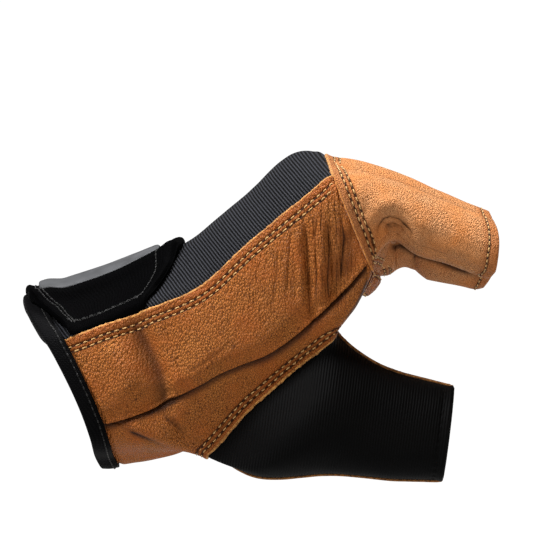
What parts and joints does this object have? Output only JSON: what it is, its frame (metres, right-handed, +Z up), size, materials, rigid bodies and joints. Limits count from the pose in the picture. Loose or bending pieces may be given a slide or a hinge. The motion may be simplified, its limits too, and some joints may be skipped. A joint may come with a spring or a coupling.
{
  "type": "fitness glove",
  "caption": "Half-finger training glove in a relaxed hand's shape: leather palm and stalls, stretch cloth back and thumb, bound cuff and a wide wrist tab.",
  "frame": {"origin": "centre of the wrist opening, where the cuff sits on the wrist", "axes": "+X from the cuff towards the finger tips, +Y from the index finger to the little finger, +Z up through the back of the hand"},
  "size_m": [0.1568, 0.0939, 0.1077],
  "materials": {
    "leather": "tan goatskin with a fine pebble grain, matt to satin",
    "stretch_cloth": "black stretch cloth with fine cross ribs",
    "cuff_tape": "black folded binding tape",
    "tab_cloth": "black smooth-faced closure strap, finely ribbed along its crest",
    "patch_rubber": "grey moulded rubber, satin"
  },
  "bodies": {
    "root": {"back_cloth": "stretch_cloth", "side_leather": "leather", "palm_leather": "leather", "thumb_cloth": "stretch_cloth", "thumb_leather": "leather", "index_stall": "leather", "middle_stall": "leather", "ring_stall": "leather", "little_stall": "leather", "cuff_binding": "cuff_tape", "closure_tab": "tab_cloth", "tab_patch": "patch_rubber", "palm_pad": "leather", "knuckle_pad": "leather"}
  },
  "joints": []
}
